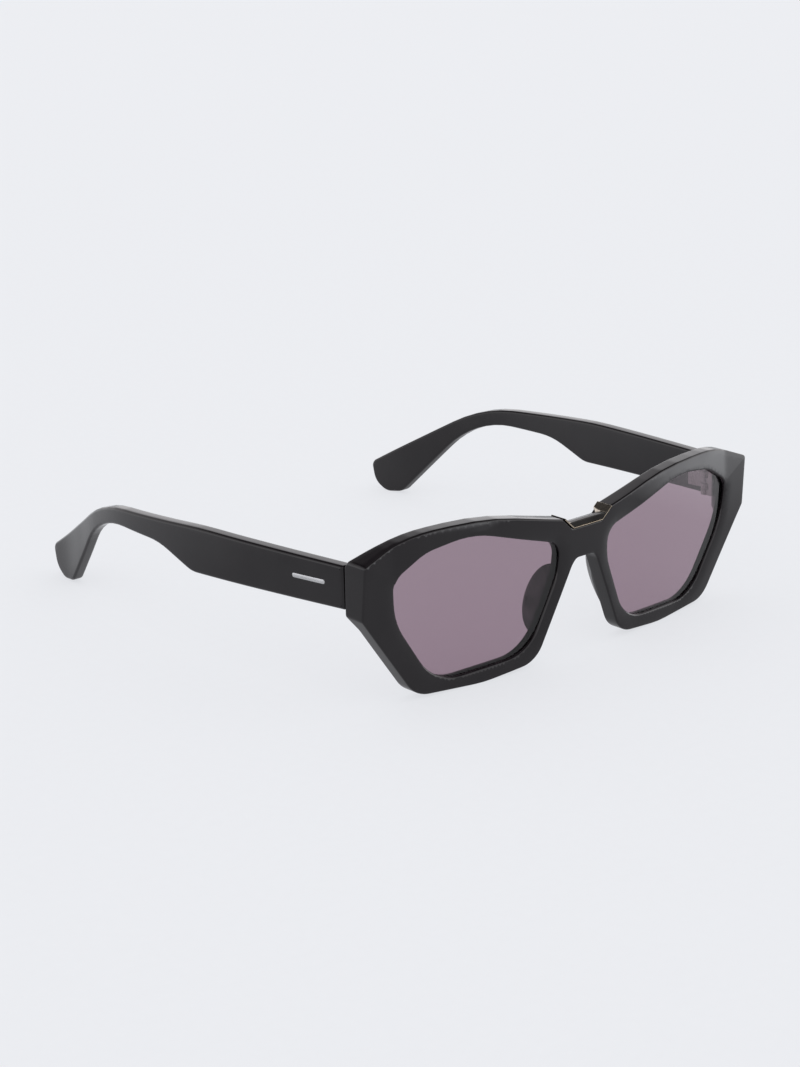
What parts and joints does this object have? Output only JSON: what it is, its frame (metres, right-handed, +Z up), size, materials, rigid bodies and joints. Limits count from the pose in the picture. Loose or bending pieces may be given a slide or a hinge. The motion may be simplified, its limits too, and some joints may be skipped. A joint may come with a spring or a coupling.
{
  "type": "sunglasses",
  "caption": "Cat eye sunglasses: faceted glossy black front, smoky mauve lenses, metal saddle over the bridge, folding temples with bent paddle tips.",
  "frame": {"origin": "on the surface the open glasses stand on, under the middle of their bounding box", "axes": "+X towards the wearer's left, -Y the way the lenses face, +Z up"},
  "size_m": [0.1508, 0.149, 0.044],
  "materials": {
    "acetate": "polished black acetate",
    "lens_tint": "polished smoky mauve tint",
    "trim_gunmetal": "polished dark gunmetal plate",
    "hinge_steel": "satin nickel plated"
  },
  "bodies": {
    "front": {"front_frame": "acetate", "lens_left": "lens_tint", "lens_right": "lens_tint", "bridge_trim": "trim_gunmetal", "nose_pad_left": "acetate", "nose_pad_right": "acetate", "hinge_front_leaf_left": "hinge_steel", "hinge_front_leaf_right": "hinge_steel", "hinge_screw_left": "hinge_steel", "hinge_screw_right": "hinge_steel"},
    "temple_arm_left": {"temple_left": "acetate", "core_wire_left": "hinge_steel", "hinge_temple_leaf_left": "hinge_steel"},
    "temple_arm_right": {"temple_right": "acetate", "core_wire_right": "hinge_steel", "hinge_temple_leaf_right": "hinge_steel"}
  },
  "joints": [
    {"name": "left_temple_fold", "type": "hinge", "parent": "front", "child": "temple_arm_left", "pos_m": [0.0634, -0.05818, 0.03125], "axis": [0, 0.0454, 0.999], "range_deg": [0, 89]},
    {"name": "right_temple_fold", "type": "hinge", "parent": "front", "child": "temple_arm_right", "pos_m": [-0.0634, -0.05818, 0.03125], "axis": [0, -0.0454, -0.999], "range_deg": [0, 82]}
  ]
}
